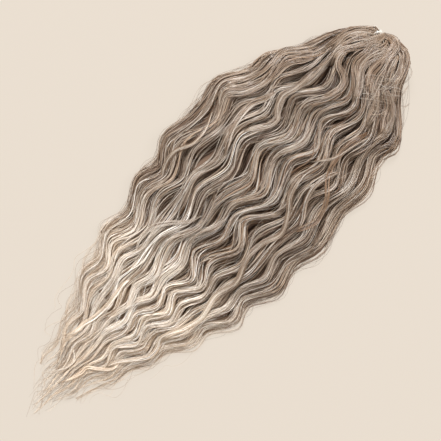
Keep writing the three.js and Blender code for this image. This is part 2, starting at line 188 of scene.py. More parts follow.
def wave_at(table, v, x):
    """The locks' travel or lead at x, blended between the locks for hair at v."""
    rows = np.stack([smooth_through(x, STATIONS, row) for row in table])
    place = np.interp(-v, -LOCK_MIDDLES, np.arange(len(LOCKS)))
    i = np.minimum(place.astype(int), len(LOCKS) - 2)
    here, beside = (np.take_along_axis(rows, k[None], axis=0)[0] for k in (i, i + 1))
    return here + (place - i) * (beside - here)


def plan_at(v, x, lead, travel, waves_of=None):
    """Place from above of the hair at v: in its lane with the waves, and curling in to the tie at the head.
    The waves are those of the hair at waves_of, where that is given."""
    v, x = np.broadcast_arrays(v, x)
    u = v if waves_of is None else np.full(v.shape, waves_of)
    swell = 0
    for share, length, across, start in SWELL:
        swell = swell + share * np.sin(2 * np.pi * x / length + across * v + start)
    lane = v + np.maximum(1 - v * v, 0) * (1 - rise(x, SWELL_END, HEAD)) * swell
    straight = np.stack([x, lane * half_at(lane, x)], axis=-1)
    start = np.stack([np.full(v.shape, HEAD), v * half_at(v, HEAD)], axis=-1)
    slope = v * (half_at(v, HEAD + 1) - half_at(v, HEAD))
    arrival = arrival_at(v)
    run_on = np.interp(v, (-1, 0, 1), CURL_START)
    come_in = CURL_END[0] + (CURL_END[1] - CURL_END[0]) * rise(-v, 0, 1)
    end = TIE + TURN_CIRCLE * arrival
    t = np.clip((x - HEAD) / (FOLD - HEAD), 0, 1)[..., None]
    leaving = start + run_on[..., None] * np.stack([np.ones(v.shape), slope], axis=-1)
    arriving = end + come_in[..., None] * arrival
    s = 1 - t
    curl = s ** 3 * start + 3 * s * s * t * leaving + 3 * s * t * t * arriving + t ** 3 * end
    place = np.where(t > 0, curl, straight)
    ahead = s * s * (leaving - start) + 2 * s * t * (arriving - leaving) + t * t * (end - arriving)
    ahead /= np.linalg.norm(ahead, axis=-1, keepdims=True)
    turned = rise(x, HEAD, WAVE_TURN)[..., None]
    aside = (1 - turned) * np.array([0.0, 1.0]) + turned * np.stack([-ahead[..., 1], ahead[..., 0]], axis=-1)
    swing = travel * wave_at(TRAVEL, u, x) * rise(x, *WAVE_START) * (1 - rise(x, WAVE_END, FOLD))
    return place + (swing * np.cos(phase_at(x) + lead + wave_at(LEAD, u, x)))[..., None] * aside


def across_lock(lock, w):
    return (lock["left"] + lock["right"]) / 2 + w * (lock["left"] - lock["right"]) / 2


def raised(plan, up):
    """Places seen from above, with their heights."""
    return np.concatenate([plan, np.broadcast_to(up, plan.shape[:-1])[..., None]], axis=-1)


def lay(lock, w, h, x, lead=0.0, travel=1.0, under=False, packed=False):
    """Place of a fibre in a lock: w across it from -1 to 1, h up it from 0 to 1, x from the tip datum. Packed
    fibre fills the lock's strip, and the rest keeps together in the lock's own wave."""
    v = across_lock(lock, w)
    opening = LEG_GAP + (EYE - LEG_GAP) * rise(x, EYE_START, FOLD)
    if under:
        up = (middle_at(v, x) - opening) * (1 - h)
    else:
        inner = middle_at(v, x) + opening
        crown = lock["crown"] + WAVE_LIFT * np.sin(phase_at(x) + LIFT_DRIFT * v)
        across = SHOULDER + (1 - SHOULDER) * np.cos(np.clip(w, -1, 1) * np.pi / 2) ** CROWN_ROUND
        up = inner + h * across * crown * (height_at(v, x) - inner)
    return raised(plan_at(v, x, lead, travel, None if packed else across_lock(lock, 0.0)), up)


def turn_under(lock, w, h):
    """Places of fibres round the turn, between the top leg's end and the under leg's start."""
    k = np.linspace(0, 1, TURN_STEPS + 1)[None, 1:-1]
    v = across_lock(lock, w)
    axis = middle_at(v, FOLD)
    top = lay(lock, w, h, FOLD + 0 * w)
    under = lay(lock, w, h, FOLD + 0 * w, under=True)
    radius = top[..., 2] - axis + k * (2 * axis - under[..., 2] - top[..., 2])
    inward = -arrival_at(v) * (TURN_DEPTH * radius * np.sin(np.pi * k))[..., None]
    return raised(top[..., :2] + inward, axis + radius * np.cos(np.pi * k))


def fold_under(lock, w, h, x, lead, travel, back, back_steps, packed=False):
    """Paths of fibres from their tips round the turn and back under for a length, and x along them."""
    w_end, h_end = w[:, -1:], h[:, -1:]
    under_x = FOLD - np.linspace(0, 1, back_steps)[None, :] * np.reshape(back, (-1, 1)) + 0 * w_end
    turn = turn_under(lock, w_end, h_end)
    path = np.concatenate([
        lay(lock, w, h, x, lead, travel, packed=packed), turn,
        lay(lock, w_end + 0 * under_x, h_end + 0 * under_x, under_x, under=True, packed=packed),
    ], axis=1)
    dye = np.concatenate([x, np.full(turn.shape[:2], FOLD), under_x], axis=1)
    return path, dye


LEAN = np.array([1e-4, 2e-4, 0.0])  # tells the sides of a strand that stands upright


def thread_rings(path, radius, sides, spin):
    """Rings round each path, for round strands: strands, steps, sides, 3."""
    ahead = np.gradient(path, axis=1)
    ahead /= np.maximum(np.linalg.norm(ahead, axis=-1, keepdims=True), 1e-9)
    above = np.array([0.0, 0.0, 1.0]) - ahead[..., 2:] * ahead
    above += LEAN
    above /= np.linalg.norm(above, axis=-1, keepdims=True)
    aside = np.cross(above, ahead)
    spin = np.reshape(spin, (len(path), -1, 1, 1))
    angle = spin + 2 * np.pi * np.arange(sides).reshape(1, 1, -1, 1) / sides
    out = np.cos(angle) * aside[:, :, None] + np.sin(angle) * above[:, :, None]
    return path[:, :, None] + radius[:, :, None, None] * out


STRIP = 0.88  # share of a strand's strip on the bake map that its wall takes


def strand_mesh(name, bunches):
    """One mesh of many closed strands. A bunch holds their rings, tones, warmths and x for the dye."""
    corners, faces, uvs, traits = [], [], [], {"tone": [], "warmth": [], "from_tips": []}
    rows = sum(len(rings) for rings, *_ in bunches)
    row = start = 0
    for rings, tone, warmth, dye in bunches:
        strands, steps, sides, _ = rings.shape
        corners.append(rings.reshape(-1, 3))
        for trait, values in (("tone", tone[:, None]), ("warmth", warmth[:, None]), ("from_tips", dye)):
            traits[trait].append(np.broadcast_to(values[:, :, None], (strands, steps, sides)).ravel())
        number = start + np.arange(strands * steps * sides).reshape(strands, steps, sides)
        nearer, further = number[:, :-1], number[:, 1:]
        wall = np.stack([nearer, np.roll(nearer, -1, 2), np.roll(further, -1, 2), further], axis=-1)
        u = np.broadcast_to(np.arange(steps - 1)[None, :, None], wall.shape[:3]) / (steps - 1)
        strip = (1 - STRIP) / 2 + STRIP * np.arange(sides) / sides
        v = (row + np.arange(strands)[:, None, None] + strip + 0 * u) / rows
        up, over = 1 / (steps - 1), STRIP / sides / rows
        wall_uv = np.stack([np.stack([u, v], -1), np.stack([u, v + over], -1),
                            np.stack([u + up, v + over], -1), np.stack([u + up, v], -1)], axis=-2)
        for k in range(1, sides - 1):
            tip = np.stack([number[:, 0, 0], number[:, 0, k + 1], number[:, 0, k]], -1)
            end = np.stack([number[:, -1, 0], number[:, -1, k], number[:, -1, k + 1]], -1)
            for cap, at in ((tip, 0.0), (end, 1.0)):
                spot = np.stack([np.full(strands, at), (row + np.arange(strands) + 0.5) / rows], -1)
                faces.append(cap)
                uvs.append(np.repeat(spot[:, None], 3, axis=1))
        faces.append(wall.reshape(-1, 4))
        uvs.append(wall_uv.reshape(-1, 4, 2))
        start += strands * steps * sides
        row += strands
    place = (np.concatenate(corners) - BOX_MIDDLE) * MM
    mesh = bpy.data.meshes.new(name)
    mesh.vertices.add(len(place))
    mesh.vertices.foreach_set("co", place.astype(np.float32).ravel())
    loops = np.concatenate([f.ravel() for f in faces])
    sizes = np.concatenate([np.full(len(f), f.shape[1]) for f in faces])
    mesh.loops.add(len(loops))
    mesh.loops.foreach_set("vertex_index", loops.astype(np.int32))
    mesh.polygons.add(len(sizes))
    mesh.polygons.foreach_set("loop_start", (np.cumsum(sizes) - sizes).astype(np.int32))
    mesh.polygons.foreach_set("use_smooth", np.ones(len(sizes), dtype=bool))
    layer = mesh.uv_layers.new(name="OFBake")
    layer.uv.foreach_set("vector", np.concatenate([u.reshape(-1, 2) for u in uvs]).astype(np.float32).ravel())
    for trait, values in traits.items():
        data = mesh.attributes.new(trait, "FLOAT", "POINT").data
        data.foreach_set("value", np.concatenate(values).astype(np.float32))
    mesh.update(calc_edges=True)
    mesh.validate()
    piece = bpy.data.objects.new(name, mesh)
    bpy.context.scene.collection.objects.link(piece)
    return piece


class Finish:
    """A socket in a material's nodes, so that a finish is written as sums and products of what makes it."""

    def __init__(self, tree, socket=None):
        self.tree = tree
        self.socket = socket

    def node(self, kind, settings, inputs, output=0):
        made = self.tree.nodes.new(kind)
        for name, value in settings.items():
            if name == "stops":
                while len(made.color_ramp.elements) < len(value):
                    made.color_ramp.elements.new(1.0)
                for element, (place, colour) in zip(made.color_ramp.elements, value):
                    element.position = place
                    element.color = colour
            else:
                setattr(made, name, value)
        for name, value in inputs.items():
            if isinstance(value, Finish):
                self.tree.links.new(value.socket, made.inputs[name])
            else:
                made.inputs[name].default_value = value
        return Finish(self.tree, made.outputs[output])

    def maths(self, operation, first, second):
        return self.node("ShaderNodeMath", {"operation": operation}, {0: first, 1: second})

    def __add__(self, other):
        return self.maths("ADD", self, other)

    def __sub__(self, other):
        return self.maths("SUBTRACT", self, other)

    def __rsub__(self, other):
        return self.maths("SUBTRACT", other, self)

    def __mul__(self, other):
        return self.maths("MULTIPLY", self, other)

    __radd__ = __add__
    __rmul__ = __mul__

    def ease(self, start, end):
        return self.node("ShaderNodeMapRange", {"interpolation_type": "SMOOTHSTEP"},
                         {"Value": self, "From Min": start, "From Max": end})

    def mix(self, first, second):
        return self.node("ShaderNodeMix", {"data_type": "RGBA"}, {0: self, 6: first, 7: second}, 2)

    def feed(self, shader, name):
        self.tree.links.new(self.socket, shader.inputs[name])


def seen(red, green, blue):
    """A colour as it is seen, for a shader."""
    share = np.array([red, green, blue]) / 255
    light = np.where(share > 0.04045, ((share + 0.055) / 1.055) ** 2.4, share / 12.92)
    return (*(float(c) for c in light), 1.0)


def new_finish(name):
    material = bpy.data.materials.new(name)
    material.use_nodes = True
    tree = material.node_tree
    shader = next(n for n in tree.nodes if n.type == "BSDF_PRINCIPLED")
    return material, Finish(tree), shader


def fibre_noise(nodes, along, across, detail):
    """Noise drawn out along the strands on their bake map."""
    lie = nodes.node("ShaderNodeUVMap", {"uv_map": "OFBake"}, {})
    place = nodes.node("ShaderNodeVectorMath", {"operation": "MULTIPLY"}, {0: lie, 1: (along, across, 1.0)})
    return nodes.node("ShaderNodeTexNoise", {}, {"Vector": place, "Scale": 1.0, "Detail": detail})


SHADES = (0.0, 0.3, 0.6, 1.0)  # the shades that a ramp's colours are for


def dye_ramp(shade, *colours):
    """The fibre's colour in one dye, from its darkest to its lightest shade."""
    stops = [(place, seen(*colour)) for place, colour in zip(SHADES, colours)]
    return shade.node("ShaderNodeValToRGB", {"stops": stops}, {"Fac": shade})


DARKEST = 0.08  # tone of the locks' darkest strands
CORE_SHADE_TONE = 0.07  # tone of their packed middles, a dark painted shade deep among the strands; below it the fibre is rough
MIDDLE_TONE = 0.42  # the tone that contrast leaves as it is
STREAKING = 0.36  # how much streaks change the tone
LIGHT_TIPS = (165.0, 110.0)  # x along which the tips gain contrast and light
TIP_CONTRAST = 0.24
TIP_LIGHTER = 0.035
EVEN_HEAD = (340.0, 400.0)  # x along which the head loses contrast
HEAD_CONTRAST = 0.19
SHADED_HEAD = (390.0, 500.0)  # x along which it gets darker, as painted shade
# Painted shade: how much darker the head's colour is made, for the shade in the gaps among its strands
HEAD_PAINTED_SHADE = 0.13
DYE = (278.0, 172.0)  # x along which taupe is dyed out to blond
DYE_UNEVEN = 60.0  # how much further up light strands are dyed
GOLD = (120.0, 60.0)  # x along which blond turns to gold

hair, nodes, shader = new_finish("braiding_hair")
tone, warmth, from_tips = (nodes.node("ShaderNodeAttribute", {"attribute_name": trait}, {}, 2)
                           for trait in ("tone", "warmth", "from_tips"))
streaks = fibre_noise(nodes, 14.0, 420.0, 3.0)
at_tips = from_tips.ease(*LIGHT_TIPS)
contrast = 1.0 + at_tips * TIP_CONTRAST - from_tips.ease(*EVEN_HEAD) * HEAD_CONTRAST
shade = MIDDLE_TONE + (tone - MIDDLE_TONE + (streaks - 0.5) * STREAKING) * contrast + at_tips * TIP_LIGHTER
# painted shade: the head darker
shade = shade - from_tips.ease(*SHADED_HEAD) * HEAD_PAINTED_SHADE
taupe = dye_ramp(shade, (67, 44, 28), (134, 113, 94), (183, 169, 155), (235, 231, 226))
caramel = dye_ramp(shade, (74, 44, 26), (142, 108, 79), (183, 159, 134), (232, 219, 203))
blond = dye_ramp(shade, (138, 107, 78), (208, 186, 162), (247, 237, 225), (253, 250, 246))
gold = dye_ramp(shade, (146, 120, 96), (226, 201, 174), (246, 231, 212), (253, 248, 241))
dyed = (from_tips + (0.5 - tone) * DYE_UNEVEN).ease(*DYE)
tips = from_tips.ease(*GOLD).mix(blond, gold)
dyed.mix(warmth.mix(taupe, caramel), tips).feed(shader, "Base Color")
(0.3 + streaks * 0.12 + tone.ease(DARKEST, CORE_SHADE_TONE) * 0.5).feed(shader, "Roughness")
shader.inputs["Specular IOR Level"].default_value = 0.7
ridges = nodes.node("ShaderNodeBump", {}, {"Strength": 0.2, "Distance": 0.0002, "Height": streaks})
ridges.feed(shader, "Normal")

STEPS = 9  # of a strand in each wave
LOWER_STEPS = 6
UNDER_STEPS = 4
HEAD_STEPS = 10
BEND_CLOSER = 0.22  # how much closer the steps are in the bends
FULL_TURN = 6.28
FLOOR_GAP = 0.1


def stations(tips, per_wave, head_steps=HEAD_STEPS, lock=None):
    """Steps of x along strands: through the waves, closer in a lock's bends, and through the head."""
    start, end = phase_at(tips)[:, None], phase_at(HEAD)
    steps = int(np.ceil(per_wave * np.max(end - start) / (2 * np.pi)))
    turn = start + (end - start) * np.linspace(0, 1, steps + 1)
    if lock is not None:
        x = np.interp(turn, TURNS, CRESTS)
        bend = turn + wave_at(LEAD, np.full(x.shape, across_lock(lock, 0.0)), x)
        turn = turn - BEND_CLOSER * np.sin(2 * bend)
    waves = np.interp(turn, TURNS, CRESTS)
    head = HEAD + (FOLD - HEAD) * np.arange(1, head_steps + 1) / head_steps
    return np.concatenate([waves, np.broadcast_to(head, (len(tips), head_steps))], axis=1)


def sway(draw, x, group, amount, shortest, longest):
    """A slow random sway along strands, the same for all the strands of a group."""
    total = 0
    groups = np.max(group) + 1
    for _ in range(2):
        length = draw.uniform(shortest, longest, groups)[group][:, None]
        start = draw.uniform(0, 1, groups)[group][:, None]
        total = total + amount * np.sin(2 * np.pi * (x / length + start)) / 1.4
    return total


def grown(share, x, start, end):
    """From a share to 1 as x goes from start to end."""
    return share + (1 - share) * rise(x, start, end)


def closed(draw, path, radius, tone, warmth, dye):
    """A bunch of closed strands along paths, kept off the floor."""
    path[..., 2] = np.maximum(path[..., 2], radius + FLOOR_GAP)
    return thread_rings(path, radius, 3, draw.uniform(0, FULL_TURN, len(path))), tone, warmth, dye


def outward(lock):
    """1 for the lock at the left edge, -1 for the one at the right, and 0 for the rest."""
    return float(lock["left"] == 1.0) - float(lock["right"] == -1.0)


# How wisps and strands lie in a tress. A sway is its amount, and its shortest and longest turn.
WISP_STRANDS = 3
WISP_SPREAD = 0.36  # of its strands to its sides
TRESS_TIP = (-16, 30)  # where a tress ends, from its lock's end
WISP_TIPS = 26  # how far its wisps end behind that
STRAND_TIPS = 16  # how far a wisp's strands end behind it
TRESS_WIDTH = (0.26, 80, 200)
TIP_WIDTH = 0.3  # as a share
HEAD_WIDER = 0.24
WISP_SWAY = (0.16, 90, 300)  # to the sides
EDGE_IN = 0.7  # how far the edge locks' tresses are drawn in at the head
TRESS_LIFT = (0.09, 70, 180)  # up and down
WISP_LIFT = (0.04, 60, 200)
TRESS_LEAD = (0.12, 140, 300)  # ahead and behind
WISP_LEAD = (0.06, 60, 160)
TRESS_TRAVEL = (0.1, 160, 400)  # of the waves' width
WISP_KINK = (0.35, 30, 90)
STRAND_KINK = (0.16, 18, 50)
TURNED_BACK = (15, 32)  # length of a top strand past the turn
STRAND_THICK = (0.25, 0.38)
TIP_THIN = 0.22  # thickness of a strand's tip, as a share
TAPER = 190  # from its tip to its full thickness
EDGE_ZONE = (0.93, 1.03)  # the strip of finer and warmer strands at the bundle's edges, made lighter there by painted light
TONE_SPREAD = (0.06, 0.12, 0.13)  # of tresses, of wisps in one and of strands in a wisp
# Painted shade: wisps that lie deeper in a tress get a darker tone
DEEP_PAINTED_SHADE = 0.36
# Painted shade: strands at a tress's sides get a darker tone, away from the bundle's edges
SIDE_PAINTED_SHADE = 0.12
CARAMEL_SHARE = 0.2  # of the wisps


def tress(draw, lock, number, place, ribbon, swing, tones, per_wave=STEPS):
    """The strands of one tress: a ribbon of wisps that run side by side and end one after another."""
    middle, top, wander = place
    width, depth, crown = ribbon
    wisps = max(2, round(number / WISP_STRANDS))
    wisp = np.arange(number) % wisps
    together = np.zeros(number, dtype=int)
    alone = np.arange(number)
    lie = 2 * (np.arange(wisps) + draw.uniform(0.1, 0.9, wisps)) / wisps - 1
    across = lie[wisp] + draw.normal(0, WISP_SPREAD / wisps, number)
    down = np.clip((draw.uniform(0, 1, wisps) ** 2)[wisp] + draw.normal(0, 0.1, number), 0, 1)
    tip = lock["top_tip"] + draw.uniform(*TRESS_TIP)
    tips = tip + np.abs(draw.normal(0, WISP_TIPS, wisps))[wisp] + np.abs(draw.normal(0, STRAND_TIPS, number))
    tips = np.maximum(tips - 10, -14)
    x = stations(tips, per_wave, lock=lock)
    in_head = rise(x, 340, 480)
    narrow = 1 + (1 - in_head) * sway(draw, x, together, *TRESS_WIDTH)
    narrow = narrow + HEAD_WIDER * in_head * (outward(lock) == 0)
    narrow = narrow * grown(TIP_WIDTH, x, tip, tip + 120)
    beside = narrow * (across[:, None] + sway(draw, x, wisp, *WISP_SWAY))
    w = middle + sway(draw, x, together, wander, 150, 360) + width * beside
    w = w - EDGE_IN * outward(lock) * rise(x, HEAD, 520)
    h = top + sway(draw, x, together, *TRESS_LIFT) - crown * beside ** 2 - depth * down[:, None]
    h = np.maximum(h + sway(draw, x, wisp, *WISP_LIFT), 0.03)
    lead, travel = swing(x)
    loose = 1 - rise(x, 160, 300)
    lead = lead + draw.normal(0, 0.25) * loose
    lead = lead + draw.normal(0, 0.07, wisps)[wisp][:, None] * loose
    travel = travel + 0.15 * loose
    lead = lead + sway(draw, x, together, *TRESS_LEAD) + sway(draw, x, wisp, *WISP_LEAD)
    travel = travel + sway(draw, x, together, *TRESS_TRAVEL)
    travel = travel + draw.normal(0, 0.06, wisps)[wisp][:, None]
    path, dye = fold_under(lock, w, h, x, lead, travel, draw.uniform(*TURNED_BACK, number), 3)
    steps = x.shape[1]
    for axis in (1, 2):
        path[:, :steps, axis] += sway(draw, x, wisp, *WISP_KINK) + sway(draw, x, alone, *STRAND_KINK)
    at_edge = rise(np.abs(across_lock(lock, middle + width * across)), *EDGE_ZONE)
    ends = tips[:, None]
    radius = draw.uniform(*STRAND_THICK, (number, 1)) * grown(TIP_THIN, dye, ends, ends + TAPER)
    radius = radius * (1 - 0.35 * at_edge[:, None])
    of_tress, of_wisps, of_strands = TONE_SPREAD
    tone = tones + draw.normal(0, of_tress) + draw.normal(0, of_wisps, wisps)[wisp]
    # painted shade: the deeper wisps are darker
    tone = tone + draw.normal(0, of_strands, number) - DEEP_PAINTED_SHADE * down
    # painted shade on a tress's sides, and painted light on the strands at the bundle's edges
    tone = tone - SIDE_PAINTED_SHADE * np.abs(across) ** 3 * (1 - at_edge) + 0.05 * at_edge
    warmth = np.where(draw.uniform(0, 1, wisps) < CARAMEL_SHARE, draw.uniform(0.4, 0.9, wisps), 0.0)[wisp]
    warmth = np.maximum(warmth, 0.6 * at_edge)
    return closed(draw, path, radius, np.clip(tone, DARKEST, 1), warmth, dye)


UNDER_STRANDS = 14
UNDER_STRANDS_AT_EDGE = 34  # in the two legs at either edge
UNDER_TIPS = 40  # how far behind one another the strands end
UNDER_SWAY = (0.12, 120, 300)
UNDER_LIFT = (0.2, 120, 300)
UNDER_THICK = (0.5, 0.9)
UNDER_END = (490, 535)  # x along which they thin out


def under_leg(draw, lock, number):
    """The coarser strands of an under leg, which the bundle lies on."""
    tips = lock["under_tip"] + np.abs(draw.normal(0, UNDER_TIPS, number)) - 30
    x = stations(tips, UNDER_STEPS, 6)[:, :-1]
    alone = np.arange(number)
    w = np.clip(draw.uniform(-1, 1, (number, 1)) + sway(draw, x, alone, *UNDER_SWAY), -1.1, 1.1)
    w = w - 0.35 * outward(lock)
    h = np.clip(draw.uniform(0.05, 1, (number, 1)) + sway(draw, x, alone, *UNDER_LIFT), 0, 1)
    lead, travel = draw.normal(0, 0.25, (number, 1)), draw.normal(1, 0.15, (number, 1))
    path = lay(lock, w, h, x, lead, travel, under=True)
    ends = tips[:, None]
    radius = draw.uniform(*UNDER_THICK, (number, 1)) * grown(0.3, x, ends, ends + 60)
    radius = radius * (1 - 0.7 * rise(x, *UNDER_END))
    tone = np.clip(draw.normal(0.4, 0.15, number), 0.16, 0.55)
    return closed(draw, path, radius, tone, np.full(number, 0.2), x)


SIDE_STRANDS = 32
SIDE_TIPS = (340, 420)  # x where they come out at the edge
SIDE_BACK = (70, 120)  # their length past the turn
SIDE_THICK = (0.3, 0.45)


def side_strands(draw, lock, number):
    """The strands down the outer side of an edge lock at the head, over its packed middle."""
    tips = draw.uniform(*SIDE_TIPS, number)
    x = stations(tips, UNDER_STEPS)
    w = outward(lock) * draw.uniform(1.0, 1.14, (number, 1)) + 0 * x
    h = draw.uniform(0.02, 1.0, (number, 1)) + 0 * x
    back = draw.uniform(*SIDE_BACK, number)
    path, dye = fold_under(lock, w, h, x, 0.0, 1.0, back, 18, packed=True)
    radius = draw.uniform(*SIDE_THICK, (number, 1)) + 0 * dye
    tone = np.clip(draw.normal(0.38, 0.14, number), 0.12, 1)
    return closed(draw, path, radius, tone, np.full(number, 0.3), dye)


CORE = [(-1.0, 0.03), (1.0, 0.03), (1.0, 0.36), (0.5, 0.5), (-0.5, 0.5), (-1.0, 0.36)]  # across and up a lock
CORE_BEHIND = 90  # how far behind the top leg's tip it starts
CORE_START = 130.0  # the least x that it starts at
CORE_END = 60  # how far behind the under leg's tip it ends


def core(lock):
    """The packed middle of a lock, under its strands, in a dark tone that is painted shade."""
    w, h = (np.array(column)[:, None] for column in zip(*CORE))
    tips = np.full(len(CORE), max(lock["top_tip"] + CORE_BEHIND, CORE_START))
    x = stations(tips, STEPS)
    size = grown(0.15, x, tips[:, None], tips[:, None] + 80)
    back = FOLD - lock["under_tip"] - CORE_END
    path, dye = fold_under(lock, w * size, h * size, x, 0.0, 1.0, back, 40, packed=True)
    return path.transpose(1, 0, 2)[None], np.array([CORE_SHADE_TONE]), np.array([0.3]), dye[:1]


def lock_swing(draw, ahead, most):
    """How far a tress's waves run ahead of its lock's, and how wide they are, along its length."""
    drift, length, start = draw.uniform(0.5, 1) * most, draw.uniform(200, 420), draw.uniform(0, FULL_TURN)
    more, spell, turn = draw.uniform(0.05, 0.2), draw.uniform(120, 300), draw.uniform(0, FULL_TURN)
    return lambda x: (ahead + drift * np.sin(2 * np.pi * x / length + start),
                      1 + more * np.sin(2 * np.pi * x / spell + turn))


LOCK_TONES = (0.44, 0.46, 0.44, 0.48, 0.5, 0.54, 0.47, 0.44, 0.44, 0.47, 0.45, 0.43, 0.42)
LOCK_SEED = 100
STRANDS = 400  # in the top of a lock as wide as the half-width
ONE_TRESS = 0.19  # width of a lock, below which its top isn't two tresses
TOP_DRIFT = 0.12  # how far its waves drift ahead and behind, in radians
OTHER_DRIFT = 0.4
# Painted shade: the lower tresses' tone is this much darker than the top ones'
LOWER_PAINTED_SHADE = 0.18
OVER_STRANDS = 9
OVER_LIGHTER = 0.06

# A tress's place is its middle across the lock, its height and how far it wanders, and its ribbon is its
# half-width, its depth and how far its sides fall.
laid = []
for i, lock in enumerate(LOCKS):
    draw = np.random.default_rng(LOCK_SEED + i)
    width = lock["left"] - lock["right"]
    swing = lock_swing(draw, 0.0, TOP_DRIFT)
    number = round(STRANDS * width)
    bunches = [core(lock)]
    parts = (0.0,) if width < ONE_TRESS else (-0.5, 0.5)
    for middle in parts:
        place = (middle + draw.uniform(-0.1, 0.1), draw.uniform(0.94, 1.06), 0.1)
        ribbon = (draw.uniform(0.86, 1.02) / len(parts), 0.12, 0.2)
        bunches.append(tress(draw, lock, number // len(parts), place, ribbon, swing, LOCK_TONES[i]))
    for middle in (-1.0, 0.0):
        place = (middle, draw.uniform(0.7, 0.82), 0.2)
        ribbon = (0.6, 0.2, 0.1)
        below = lock_swing(draw, draw.normal(0, 0.4), OTHER_DRIFT)
        # painted shade: the tresses below are darker
        darker = LOCK_TONES[i] - LOWER_PAINTED_SHADE
        bunches.append(tress(draw, lock, number // 5, place, ribbon, below, darker, LOWER_STEPS))
    for _ in range(2):
        place = (draw.uniform(-0.9, 0.9), draw.uniform(1.0, 1.08), 0.3)
        ribbon = (draw.uniform(0.08, 0.16), 0.1, 0.05)
        over = lock_swing(draw, draw.normal(0, 0.3), OTHER_DRIFT)
        bunches.append(tress(draw, lock, OVER_STRANDS, place, ribbon, over, LOCK_TONES[i] + OVER_LIGHTER))
    laid.extend(rings.mean(axis=2).reshape(-1, 3) for rings, *_ in bunches[1:])
    near_edge = min(i, len(LOCKS) - 1 - i) < 2
    bunches.append(under_leg(draw, lock, UNDER_STRANDS_AT_EDGE if near_edge else UNDER_STRANDS))
    if outward(lock):
        bunches.append(side_strands(draw, lock, SIDE_STRANDS))
    piece = strand_mesh(f"lock_hair_{i + 1:02d}", bunches)
    piece.data.materials.append(hair)
    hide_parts(f"lock_{i + 1:02d}")
    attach(piece, "root")


# Stray locks
# Thin locks of the same fibre that have come away from the rest. They lie over it across its waves, curl in
# to the tie on top of the head, or stand out at the edges as single hairs. A row has the number of strands,
# the half-width, tone and warmth, and points from the tip datum and the centre line.

